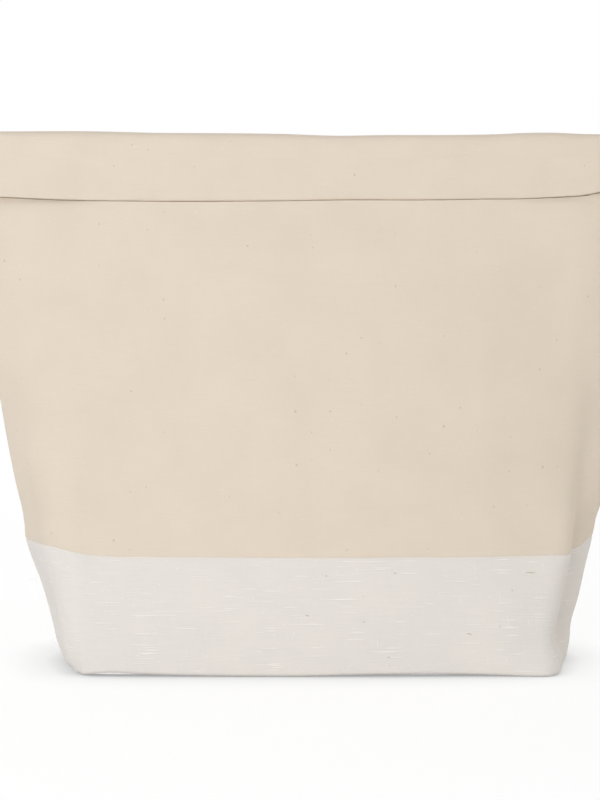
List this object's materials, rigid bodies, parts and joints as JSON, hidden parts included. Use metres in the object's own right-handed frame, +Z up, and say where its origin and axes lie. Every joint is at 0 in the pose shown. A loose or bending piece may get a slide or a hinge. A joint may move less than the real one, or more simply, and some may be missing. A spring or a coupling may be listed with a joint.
{
  "type": "cooler bag",
  "caption": "Folded-top lunch cooler bag: canvas walls on a boxed jute-cotton base, foam insulation, foil lining and a mouth that folds over and fastens with hook and loop tape.",
  "frame": {"origin": "middle of the flat bottom, on the surface that the bag stands on", "axes": "+Z up, +X along the width of the mouth, -Y towards the front, where the folded mouth hangs"},
  "size_m": [0.3356, 0.1014, 0.261],
  "materials": {
    "canvas": "unbleached plain-weave cotton canvas with seed flecks, matt",
    "juco": "white jute-cotton cloth with slubs across, matt and slightly fuzzy",
    "foam": "white closed-cell foam sheet",
    "foil": "metallised film, silver, finely crinkled",
    "binding": "woven binding tape, off-white",
    "tape": "hook and loop tape, off-white"
  },
  "bodies": {
    "bag": {"base_wrap": "juco", "front_canvas": "canvas", "back_canvas": "canvas", "base_foam": "foam", "front_foam": "foam", "back_foam": "foam", "base_foil": "foil", "front_foil": "foil", "back_foil": "foil", "left_seam_binding": "binding", "right_seam_binding": "binding", "back_canvas_fold": "canvas", "back_foil_fold": "foil", "front_foil_fold": "foil", "front_canvas_fold": "canvas", "loop_tape": "tape"},
    "inner_lip": {"inner_lip_canvas": "canvas", "inner_lip_foil": "foil", "hook_tape": "tape"},
    "outer_lip": {"outer_lip_canvas": "canvas", "outer_lip_foil": "foil"}
  },
  "joints": [
    {"name": "top_fold", "type": "hinge", "parent": "bag", "child": "inner_lip", "pos_m": [0, -0.0061, 0.261], "axis": [-1, 0, 0], "range_deg": [0, 175], "deforming": ["back_canvas_fold", "back_foil_fold", "front_foil_fold", "front_canvas_fold"]},
    {"name": "mouth_open", "type": "hinge", "parent": "inner_lip", "child": "outer_lip", "pos_m": [0, -0.0144, 0.249], "axis": [-1, 0, 0], "range_deg": [0, 30]}
  ]
}
